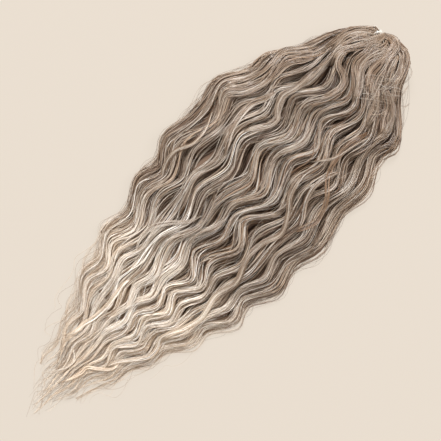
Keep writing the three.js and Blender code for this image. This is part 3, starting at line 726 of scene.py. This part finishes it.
STRAYS = (
    (16, 2.6, 0.46, 0.8, ((467, -51), (440, -45), (412, -47), (396, -55), (380, -70), (358, -78),
        (339, -73), (326, -64))),
    (24, 3.2, 0.46, 0.15, ((137, -49), (154, -51), (170, -58), (192, -63), (220, -57), (247, -63),
        (275, -53), (297, -53), (319, -60), (338, -52), (358, -37), (385, -30))),
    (10, 2.2, 0.46, 0.2, ((192, 38), (205, 45), (225, 45), (242, 35), (258, 21), (272, 16))),
    (16, 3.2, 0.42, 0.4, ((334, 40), (346, 50), (368, 60), (396, 63), (415, 55), (432, 52))),
    (12, 2.6, 0.4, 0.4, ((330, -72), (346, -66), (363, -55), (380, -50), (398, -52), (418, -60))),
    (7, 1.2, 0.58, 0.1, ((396, -26), (406, -35), (420, -44), (445, -50), (470, -57))),
    (26, 4.4, 0.46, 0.2, ((374, 84), (381, 89), (389, 88), (399, 79), (411, 73), (423, 70), (434, 70),
        (444, 72), (454, 74), (463, 73), (471, 67), (482, 59), (491, 51))),
    (30, 4.4, 0.46, 0.2, ((386, 97), (398, 94), (411, 86), (424, 81), (434, 78), (447, 78), (459, 79),
        (469, 76), (478, 67), (487, 61), (498, 55))),
    (16, 3.0, 0.46, 0.3, ((422, 61), (433, 66), (444, 67), (453, 67), (462, 64), (473, 55), (487, 46))),
    (20, 3.2, 0.46, 0.15, ((363, 48), (374, 45), (385, 39), (396, 32), (405, 31), (411, 37), (422, 43),
        (430, 44), (440, 41), (454, 39), (468, 38), (479, 37), (490, 38))),
    (12, 2.6, 0.4, 0.5, ((268, 74), (284, 84), (302, 86), (322, 78), (342, 80), (362, 88))),
    (28, 4.2, 0.46, 0.25, ((520, 25), (509, 30), (500, 29), (493, 24), (490, 15), (485, 8), (476, 6),
        (465, 9), (455, 15))),
    (3, 1.3, 0.36, 0.9, ((529, -40), (538, -41), (547, -38), (550, -32))),
    (3, 1.3, 0.36, 0.9, ((512, -53), (516, -60), (523, -61))),
    (3, 1.3, 0.36, 0.9, ((519, -49), (529, -47), (535, -46))),
    (3, 1.3, 0.36, 0.9, ((486, 70), (493, 69), (501, 66), (508, 59))),
    (3, 1.3, 0.36, 0.9, ((505, 63), (513, 59), (519, 52))),
    (7, 2.4, 0.5, 0.8, ((492, -78), (475, -82), (455, -84), (437, -87), (421, -94))),
    (32, 3.2, 0.46, 0.2, ((551, 14), (550, 20), (547, 26), (543, 32), (537, 38), (530, 42), (522, 45),
        (512, 46), (502, 48), (492, 51))),
    (30, 3.4, 0.5, 0.1, ((549, 14), (547, 20), (544, 26), (540, 31), (535, 35), (529, 39), (522, 42),
        (514, 42), (506, 42), (497, 43))),
    (28, 3.8, 0.44, 0.3, ((546, 15), (543, 21), (539, 26), (533, 31), (527, 34), (521, 36), (514, 38),
        (507, 38), (500, 39))),
    (40, 5.0, 0.48, 0.15, ((557, 12), (551, 14), (544, 16), (536, 19), (529, 23), (521, 28), (512, 33),
        (505, 35), (497, 34), (488, 30))),
    (34, 4.4, 0.46, 0.2, ((556, 11), (550, 11), (542, 12), (534, 14), (526, 13), (518, 14), (510, 14),
        (503, 9), (496, 0), (486, -8), (476, -11))),
    (30, 4.0, 0.48, 0.15, ((555, 8), (550, 4), (544, 4), (537, 6), (529, 8), (520, 9), (512, 8), (505, 3),
        (497, -5))),
    (34, 4.4, 0.48, 0.1, ((557, -8), (552, -5), (546, -3), (537, 0), (526, 4), (518, 5), (509, 3),
        (501, -3), (494, -8), (484, -13), (473, -18))),
    (36, 4.0, 0.46, 0.2, ((556, 12), (559, 6), (559, -1), (556, -6), (550, -8), (542, -8), (535, -9),
        (526, -12), (517, -13), (509, -16), (500, -22), (491, -29))),
    (30, 3.6, 0.44, 0.4, ((553, 11), (555, 5), (554, -1), (549, -4), (542, -4), (536, -5), (528, -5),
        (516, -5), (509, -8), (501, -14), (492, -21))),
    (36, 4.0, 0.46, 0.2, ((554, -4), (557, -9), (557, -17), (553, -23), (546, -28), (536, -32), (527, -35),
        (518, -40), (510, -46), (502, -52))),
    (24, 3.4, 0.5, 0.1, ((550, -6), (552, -12), (550, -18), (544, -24), (535, -29), (525, -31), (516, -31),
        (506, -28), (498, -25))),
    (18, 2.8, 0.48, 0.3, ((549, -11), (547, -20), (542, -27), (533, -32), (523, -32), (514, -30))),
    (26, 4.5, 0.44, 0.2, ((551, -5), (547, -13), (538, -16), (530, -19), (522, -23), (514, -28),
        (505, -33))),
    (30, 4.4, 0.46, 0.2, ((517, -21), (513, -27), (509, -37), (502, -47), (490, -53), (479, -60),
        (467, -61))),
    (26, 4.2, 0.46, 0.2, ((512, -18), (507, -24), (498, -30), (488, -38), (478, -41), (464, -47))),
    (4, 1.4, 0.2, 0.4, ((86, 16), (69, 27), (55, 34), (42, 35), (31, 28))),
    (4, 0.9, 0.5, 0.1, ((70, 20), (67, 12), (60, 4), (52, 3), (39, 9), (27, 17))),
    (4, 1.4, 0.2, 0.5, ((173, 78), (159, 78), (146, 74), (136, 66), (129, 56))),
    (4, 1.4, 0.22, 0.4, ((122, 54), (112, 56), (99, 54), (89, 47))),
    (13, 2.2, 0.46, 0.1, ((186, -60), (172, -60), (157, -52), (145, -47), (133, -52), (120, -52),
        (104, -41), (91, -31), (74, -25))),
    (14, 2.4, 0.52, 0.1, ((173, 21), (159, 24), (145, 22), (128, 20), (109, 21), (98, 24), (82, 26),
        (70, 31))),
    (10, 2.0, 0.38, 0.1, ((100, -34), (83, -33), (72, -22), (64, -12), (56, -12), (40, -7), (28, -1))),
)


def run(knots, step):
    """Points at even steps along a smooth line through knots."""
    knots = np.array(knots, dtype=float)
    chord = np.concatenate([[0.0], np.cumsum(np.linalg.norm(np.diff(knots, axis=0), axis=1))])
    along = np.linspace(0, chord[-1], max(4, round(chord[-1] / step) + 1))
    return np.stack([smooth_through(along, chord, column) for column in knots.T], axis=-1)


CELL = 3.0  # of the grid on which the top of the locks is known
GRID_START = np.array([-40.0, -125.0])
GRID_SIZE = (204, 84)
LAST_CELL = np.array(GRID_SIZE) - 1.001
RIM = (505, 530)  # x along which the head's top is widened, to carry what lies over its rim
SMOOTHING = (0.11, 0.22, 0.34, 0.22, 0.11)  # shares of a path's nearby steps in a smoothed height
grid = np.zeros(GRID_SIZE)
points = np.concatenate(laid)
cell = np.round((points[:, :2] - GRID_START) / CELL).astype(int)
np.maximum.at(grid, (cell[:, 0], cell[:, 1]), points[:, 2])
near = [(i, j) for i in (-1, 0, 1) for j in (-1, 0, 1)]
grid = np.max([np.roll(grid, shift, (0, 1)) for shift in near], axis=0)
grid = np.mean([np.roll(grid, shift, (0, 1)) for shift in near], axis=0)
rim = np.max([np.roll(grid, (2 * i, 2 * j), (0, 1)) for i, j in near], axis=0)
grid += rise(GRID_START[0] + CELL * np.arange(GRID_SIZE[0]), *RIM)[:, None] * (rim - grid)


def top_at(place):
    """Height of the locks under places seen from above, smoothed along each path."""
    at = np.clip((place - GRID_START) / CELL, 0, LAST_CELL)
    i, j = np.moveaxis(at.astype(int), -1, 0)
    s, t = np.moveaxis(at - at.astype(int), -1, 0)
    here = grid[i, j] * (1 - s) + grid[i + 1, j] * s
    beside = grid[i, j + 1] * (1 - s) + grid[i + 1, j + 1] * s
    up = here * (1 - t) + beside * t
    padded = np.pad(up, ((0, 0), (2, 2)), mode="edge")
    steps = up.shape[1]
    return sum(share * padded[:, k:k + steps] for k, share in enumerate(SMOOTHING))


STRAY_SEED = 700
STRAY_STEP = 3.0  # length of a step along a stray lock's strands
STRAY_THICK = (0.2, 0.32)  # radii of its strands
FEW = 5  # strands, below which a stray lock is of single fine hairs
FINE = 0.5  # how much finer those are
STRAY_WISP_SWAY = (0.22, 60, 160)
STRAY_STRAND_SWAY = (0.06, 40, 100)
STRAY_SINK = 8.0  # how deep its ends sink in among the locks
STRAY_TONES = (0.13, 0.1)  # spread of its wisps and strands


def stray_lock(draw, number, width, tone, warmth, knots):
    """The strands of a stray lock, side by side along a line, with their ends sunk in among the locks."""
    line = run(knots, STRAY_STEP)
    share = np.linspace(0, 1, len(line))[None, :]
    ahead = np.gradient(line, axis=0)
    ahead /= np.linalg.norm(ahead, axis=-1, keepdims=True)
    aside = np.stack([-ahead[:, 1], ahead[:, 0]], axis=-1)
    along = np.broadcast_to(STRAY_STEP * np.arange(len(line)), (number, len(line)))
    from_end = np.minimum(along, along[:, -1:] - along)
    alone = np.arange(number)
    wisps = max(2, number // WISP_STRANDS)
    wisp = alone * wisps // number
    across = np.linspace(-1, 1, number)[:, None] + draw.normal(0, 0.06, (number, 1))
    across = across + sway(draw, along, wisp, *STRAY_WISP_SWAY) + sway(draw, along, alone, *STRAY_STRAND_SWAY)
    spread = width * grown(0.4, from_end, 0, 22)
    plan = line[None] + (spread * across)[..., None] * aside[None]
    lift = 0.1 + 0.5 * np.clip(1 - across ** 2, 0, 1)
    up = top_at(plan) + lift - STRAY_SINK * (1 - rise(from_end, 0, 14))
    up = up + draw.uniform(-0.25, 0.25, (number, 1)) + sway(draw, along, alone, 0.05, 40, 90)
    radius = draw.uniform(*STRAY_THICK, (number, 1)) * (0.5 + 0.5 * np.sin(np.pi * share) ** 0.5)
    radius = radius * (FINE if number < FEW else 1.0)
    tones = tone + draw.normal(0, STRAY_TONES[0], wisps)[wisp] + draw.normal(0, STRAY_TONES[1], number)
    # painted shade: strands at a stray lock's sides are darker
    tones = np.clip(tones - 0.15 * np.abs(across[:, 0]), DARKEST, 1)
    warmths = warmth * draw.uniform(0.5, 1, number)
    return closed(draw, raised(plan, up), radius, tones, warmths, plan[..., 0])


strays = [stray_lock(np.random.default_rng(STRAY_SEED + i), *one) for i, one in enumerate(STRAYS)]
piece = strand_mesh("stray_locks", strays)
piece.data.materials.append(hair)
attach(piece, "root")


# Loose hairs
# Single fibres that have slipped out of the locks: fine curls past the tips, fuzz along the edges, hairs that
# run on top of the locks a little out of step with them, and short ends that lie across them.

LOOSE_SEED = 23
TIP_HAIRS = 180
EDGE_HAIRS = 320
EDGE_INSIDE = 0.95  # where the fuzz comes out of the edge, as a share of the half-width
OVER_HAIRS = 140
LYING_LIFT = 1.4  # of a lying hair's middle over the locks
LYING_FALL = 60.0  # of its ends from that, in among them


def hair_lines(draw, plan, up, thick, tone, warm_share):
    """Closed hairs along paths, thinning to both ends. A tone is its mean and spread."""
    number, steps, _ = plan.shape
    share = np.linspace(0, 1, steps)[None, :]
    radius = draw.uniform(*thick, (number, 1)) * (0.4 + 0.6 * np.sin(np.pi * share) ** 0.5)
    tones = np.clip(draw.normal(*tone, number), 0, 1)
    warmths = np.where(draw.uniform(0, 1, number) < warm_share, draw.uniform(0.3, 1, number), 0.1)
    return closed(draw, raised(plan, up), radius, tones, warmths, plan[..., 0])


def tip_hairs(draw, number):
    """Hairs that run on past the ends of the locks, each with its own loose curl."""
    share = np.linspace(0, 1, 28)[None, :]
    v = draw.uniform(-1.0, 1.0, (number, 1))
    end = draw.uniform(-20, 70, (number, 1)) + 40 * v * v
    x = end + share * draw.uniform(60, 130, (number, 1))
    alone = np.arange(number)
    lead, travel = draw.normal(0, 0.9, (number, 1)), draw.uniform(0.5, 1.1, (number, 1))
    plan = plan_at(v * (1 + 0.6 * (1 - share) * draw.uniform(-1, 1, (number, 1))), x, lead, travel)
    plan[..., 1] += (1 - share) * sway(draw, x, alone, 5.5, 28, 70)
    plan[..., 0] += (1 - share) * sway(draw, x, alone, 5.0, 24, 60)
    up = draw.uniform(0.2, 0.9, (number, 1)) * (2.0 + 0.06 * np.maximum(x, 0))
    up = up + sway(draw, x, alone, 0.8, 40, 90)
    return hair_lines(draw, plan, up, thick=(0.11, 0.2), tone=(0.13, 0.12), warm_share=0.5)


def edge_hairs(draw, number):
    """Fuzz along the two edges, standing out from them by a few millimetres."""
    share = np.linspace(0, 1, 16)[None, :]
    side = draw.choice([-1.0, 1.0], (number, 1))
    start, length = draw.uniform(60, 470, (number, 1)), draw.uniform(40, 110, (number, 1))
    x = np.clip(start + share * length * draw.choice([-1, 1], (number, 1)), 30, 540)
    standing = rise(share, 0, 0.7) * (1 - 0.6 * rise(share, 0.7, 1))
    out = EDGE_INSIDE + np.abs(draw.normal(0, 0.05, (number, 1))) * standing
    plan = plan_at(side * out, x, draw.normal(0, 0.9, (number, 1)), draw.uniform(0.3, 1.2, (number, 1)))
    alone = np.arange(number)
    plan[..., 1] += share * sway(draw, x, alone, 1.2, 26, 70)
    up = draw.uniform(0.15, 0.65, (number, 1)) + sway(draw, x, alone, 0.1, 40, 90)
    up = up * height_at(EDGE_INSIDE, x)
    return hair_lines(draw, plan, up, thick=(0.09, 0.16), tone=(0.2, 0.12), warm_share=0.6)


def over_hairs(draw, number):
    """Hairs that run along on top of the locks, a little out of step with their waves."""
    share = np.linspace(0, 1, 22)[None, :]
    v = draw.uniform(-0.95, 0.95, (number, 1)) + draw.normal(0, 0.06, (number, 1)) * share
    x = draw.uniform(70, 400, (number, 1)) + share * draw.uniform(60, 130, (number, 1))
    plan = plan_at(v, x, draw.normal(0, 0.5, (number, 1)), draw.uniform(0.7, 1.2, (number, 1)))
    plan[..., 1] += sway(draw, x, np.arange(number), 0.9, 24, 70)
    up = top_at(plan) + 0.3 - 4.0 * (1 - np.sin(np.pi * share) ** 0.3)
    return hair_lines(draw, plan, up, thick=(0.1, 0.17), tone=(0.55, 0.2), warm_share=0.3)


def lying_hairs(draw, number, low, high, turn, length, bow, thick=(0.09, 0.16), tone=(0.56, 0.14)):
    """Hairs that lie on top of the locks in a field from low to high, at an angle to them."""
    share = np.linspace(-0.5, 0.5, 16)[None, :]
    middle = draw.uniform(low, high, (number, 2))
    angle = draw.normal(*turn, (number, 1)) * draw.choice([-1, 1], (number, 1))
    run_along = share * draw.uniform(*length, (number, 1))
    bowed = draw.uniform(-bow, bow, (number, 1)) * (1 - 4 * share * share)
    bowed = bowed + sway(draw, run_along, np.arange(number), 0.8, 18, 40)
    plan = np.stack([middle[:, :1] + run_along * np.cos(angle) - bowed * np.sin(angle),
                     middle[:, 1:] + run_along * np.sin(angle) + bowed * np.cos(angle)], axis=-1)
    up = top_at(plan) + LYING_LIFT - LYING_FALL * np.abs(share) ** 4
    return hair_lines(draw, plan, up, thick, tone, warm_share=0.3)


# Lying hairs have a number, two corners of their field, an angle and its spread, lengths and a bow
draw = np.random.default_rng(LOOSE_SEED)
loose = [
    tip_hairs(draw, TIP_HAIRS), edge_hairs(draw, EDGE_HAIRS), over_hairs(draw, OVER_HAIRS),
    lying_hairs(draw, 64, (486, -46), (526, -8), (0.75, 0.3), (16, 36), 5,
                thick=(0.12, 0.2), tone=(0.7, 0.12)),
    lying_hairs(draw, 24, (530, 2), (545, 26), (0.9, 0.6), (10, 22), 4),
    lying_hairs(draw, 24, (200, -75), (470, 75), (0.3, 0.15), (30, 60), 4),
]
piece = strand_mesh("loose_hairs", loose)
piece.data.materials.append(hair)
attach(piece, "root")


# The tie
# White cotton thread of three plies, twisted. It is drawn round through the turns of all the locks. Its end
# comes out at the front of the head, where it is knotted, cut short and a little frayed.

THREAD_BEHIND = 1.2  # how far behind the turns the thread runs
THREAD_STEP = 0.6  # length of a step along the thread
THREAD_END = (  # points along the end, from the tie
    (4.6, 6.8, 6.5), (5.2, 5.2, 8.0), (4.6, 4.0, 16.0),
    (2.0, 3.4, 23.0), (-2.0, 5.4, 26.5), (-7.0, 7.6, 27.5),
)
KNOT_ON_END = (-1.0, 4.8, 26.5)
KNOT_SIZE = 0.28
KNOT_THICK = 0.32  # radius of the thread in the knot
SHORT_END = (2.6, 2.0, 27.0)
PLY = 0.22  # radius of a ply
PLY_TURN = 2.6  # length in which the plies twist once
FRAY_SEED = 31
FRAYED = 14  # loose fibres at the knot
FRAYED_THICK = 0.1

cotton, nodes, shader = new_finish("cotton_thread")
fibres = fibre_noise(nodes, 60.0, 12.0, 4.0)
fibres.ease(0.3, 0.75).mix(seen(192, 184, 174), seen(236, 231, 224)).feed(shader, "Base Color")
(0.72 + fibres * 0.2).feed(shader, "Roughness")
shader.inputs["Sheen Weight"].default_value = 0.3
fuzz = nodes.node("ShaderNodeBump", {}, {"Strength": 0.5, "Distance": 0.0003, "Height": fibres})
fuzz.feed(shader, "Normal")


def thread_bunch(rings):
    """A bunch of thread, which has no tones of its own."""
    return rings, np.full(len(rings), 0.5), np.zeros(len(rings)), np.full(rings.shape[:2], FOLD)


def plied(path):
    """The three plies of a thread along a path."""
    along = np.concatenate([[0.0], np.cumsum(np.linalg.norm(np.diff(path, axis=0), axis=1))])
    lay_out = np.full((1, len(path)), PLY * 1.1)
    plies = thread_rings(path[None], lay_out, 3, 2 * np.pi * along / PLY_TURN)[0].transpose(1, 0, 2)
    return thread_bunch(thread_rings(plies, np.full(plies.shape[:2], PLY), 6, np.zeros(3)))


def by_tie(places):
    """Places that are given from the tie."""
    return np.array(places) + np.array([*TIE, 0.0])


v = np.linspace(-1, 1, 27)
round_tie = TIE + (TURN_CIRCLE + THREAD_BEHIND) * arrival_at(v)
piece = strand_mesh("tie_loop", [plied(run(np.column_stack([round_tie, middle_at(v, FOLD)]), THREAD_STEP))])
piece.data.materials.append(cotton)
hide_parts("tie_thread")
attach(piece, "root")

t = np.linspace(0, 2 * np.pi, 60)
knot = np.stack([np.sin(t) + 2 * np.sin(2 * t), np.cos(t) - 2 * np.cos(2 * t), -np.sin(3 * t)], axis=-1)
knot_path = (by_tie(KNOT_ON_END) + KNOT_SIZE * knot)[None]
knot_rings = thread_rings(knot_path, np.full(knot_path.shape[:2], KNOT_THICK), 8, np.zeros(1))
draw = np.random.default_rng(FRAY_SEED)
along = np.linspace(0, 1, 7)[None, :, None]
root = by_tie(KNOT_ON_END) + draw.uniform(-1, 1, (FRAYED, 1, 3)) * np.array([3.4, 2.4, 0.8])
lie_over = draw.normal(0, 1, (FRAYED, 1, 3)) * np.array([3.2, 3.2, 0.7])
curl = draw.normal(0, 1, (FRAYED, 1, 3)) * np.array([1.6, 1.6, 0.6])
frayed = root + lie_over * along + curl * np.sin(np.pi * along)
frayed_rings = thread_rings(frayed, np.full(frayed.shape[:2], FRAYED_THICK), 3, np.zeros(FRAYED))
piece = strand_mesh("tie_end", [
    plied(run(by_tie(THREAD_END), THREAD_STEP)), plied(run(by_tie((KNOT_ON_END, SHORT_END)), THREAD_STEP)),
    thread_bunch(knot_rings), thread_bunch(frayed_rings),
])
piece.data.materials.append(cotton)
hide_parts("tie_knot")
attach(piece, "root")


# Floor, light and camera
# A plain warm pale floor that glows of itself, as painted light that keeps shadows on it faint, and a warm
# sky, two broad soft lamps beyond the head, one to each side and a little cooler, and a camera straight
# above.

FLOOR_SIZE = 6.0
FLOOR_GLOW = 0.815  # keeps the floor as pale as the photograph's
SKY_COLOUR = (1.0, 0.925, 0.85, 1)
SKY_STRENGTH = 0.46
LAMP_COLOUR = (0.94, 0.975, 1.0)
LAMP_SIZE = 1.9
SENSOR = 36
PHOTO_PIXEL = 1.1 * MM  # a pixel of the photograph on the bundle
PHOTO_SIDE = 441 * PHOTO_PIXEL
VIEW_MIDDLE = (0.0021, -0.0054)  # the point under the photograph's middle
VIEW_TURN = np.radians(-45.4)  # the photograph's right side, from +X
CAMERA_HEIGHT = 2.2
MEAN_HEIGHT = 0.018

corner = FLOOR_SIZE / 2
floor_mesh = bpy.data.meshes.new("floor")
corners = [(-corner, -corner, 0), (corner, -corner, 0), (corner, corner, 0), (-corner, corner, 0)]
floor_mesh.from_pydata(corners, [], [(0, 1, 2, 3)])
floor = bpy.data.objects.new("floor", floor_mesh)
bpy.context.scene.collection.objects.link(floor)
paper, nodes, shader = new_finish("floor_paper")
grain = nodes.node("ShaderNodeTexNoise", {}, {"Scale": 900.0, "Detail": 2.0})
# Painted light: the floor's own colour is dark, and it glows of itself to a pale tone, so that shadows on it
# stay faint
(grain * 0.04).mix(seen(72, 68, 64), seen(66, 62, 58)).feed(shader, "Base Color")
shader.inputs["Emission Color"].default_value = seen(236, 224, 209)
shader.inputs["Emission Strength"].default_value = FLOOR_GLOW
shader.inputs["Roughness"].default_value = 0.95
shader.inputs["Specular IOR Level"].default_value = 0.1
floor_mesh.materials.append(paper)

world = bpy.data.worlds.new("studio")
world.use_nodes = True
sky = world.node_tree.nodes["Background"]
sky.inputs["Color"].default_value = SKY_COLOUR
sky.inputs["Strength"].default_value = SKY_STRENGTH
bpy.context.scene.world = world


def softbox(name, place, power):
    lamp = bpy.data.lights.new(name, "AREA")
    lamp.shape = "SQUARE"
    lamp.size = LAMP_SIZE
    lamp.energy = power
    lamp.color = LAMP_COLOUR
    box = bpy.data.objects.new(name, lamp)
    box.location = place
    aim = -np.array(place) / np.linalg.norm(place)
    box.rotation_euler = (np.arccos(-aim[2]), 0, np.arctan2(-aim[0], aim[1]))
    bpy.context.scene.collection.objects.link(box)


softbox("key", (2.6, 2.8, 4.2), 540)
softbox("fill", (2.9, -2.6, 3.6), 230)

lens = bpy.data.cameras.new("camera")
lens.sensor_width = SENSOR
lens.lens = SENSOR * (CAMERA_HEIGHT - MEAN_HEIGHT) / PHOTO_SIDE
camera = bpy.data.objects.new("camera", lens)
camera.location = (*VIEW_MIDDLE, CAMERA_HEIGHT)
camera.rotation_euler = (0, 0, VIEW_TURN)
bpy.context.scene.collection.objects.link(camera)
bpy.context.scene.camera = camera
bpy.context.scene.view_settings.view_transform = "Standard"
